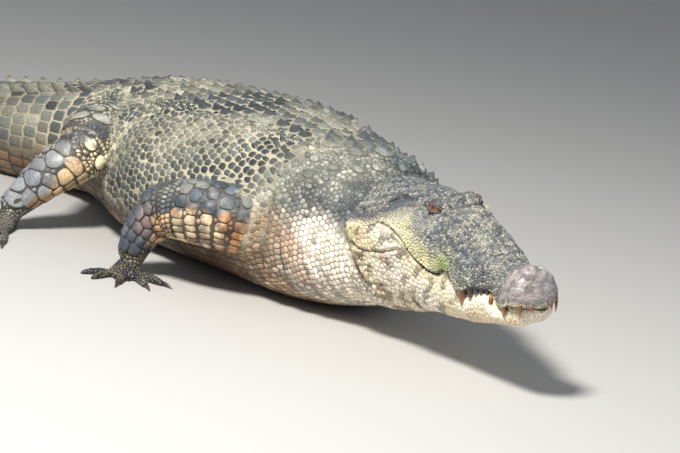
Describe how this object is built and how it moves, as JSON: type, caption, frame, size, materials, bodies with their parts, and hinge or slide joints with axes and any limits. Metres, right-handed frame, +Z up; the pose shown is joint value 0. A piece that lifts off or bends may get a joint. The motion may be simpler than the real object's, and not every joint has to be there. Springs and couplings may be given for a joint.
{
  "type": "saltwater crocodile",
  "caption": "Life-size saltwater crocodile that lies on its belly, head a little off the ground and mouth closed, legs splayed and tail swung to its right.",
  "frame": {"origin": "middle of the flat under the belly, on the ground", "axes": "+X forward along the trunk, +Y to the animal's left, +Z up"},
  "size_m": [4.6163, 2.0737, 0.5518],
  "materials": {
    "hide": "rough scaly hide, dark grey to olive with dried mud, cream and rust patches on the legs",
    "pale_hide": "smoother pale cream hide of the lower jaw and throat",
    "eye": "wet, polished",
    "claw": "semi-gloss horn",
    "tooth": "worn, stained, semi-gloss"
  },
  "bodies": {
    "root": {"head": "hide", "lower_jaw": "pale_hide", "eye_left": "eye", "eye_right": "eye", "neck": "hide", "chest": "hide", "belly": "hide", "pelvis": "hide", "tail_base": "hide", "tail_middle": "hide", "tail_rear": "hide", "tail_tip": "hide", "upper_arm_left": "hide", "forearm_left": "hide", "hand_left": "hide", "thigh_left": "hide", "shank_left": "hide", "foot_left": "hide", "hand_left_claw_1": "claw", "hand_left_claw_2": "claw", "hand_left_claw_3": "claw", "foot_left_claw_1": "claw", "foot_left_claw_2": "claw", "foot_left_claw_3": "claw", "upper_arm_right": "hide", "forearm_right": "hide", "hand_right": "hide", "thigh_right": "hide", "shank_right": "hide", "foot_right": "hide", "hand_right_claw_1": "claw", "hand_right_claw_2": "claw", "hand_right_claw_3": "claw", "foot_right_claw_1": "claw", "foot_right_claw_2": "claw", "foot_right_claw_3": "claw"}
  },
  "joints": []
}
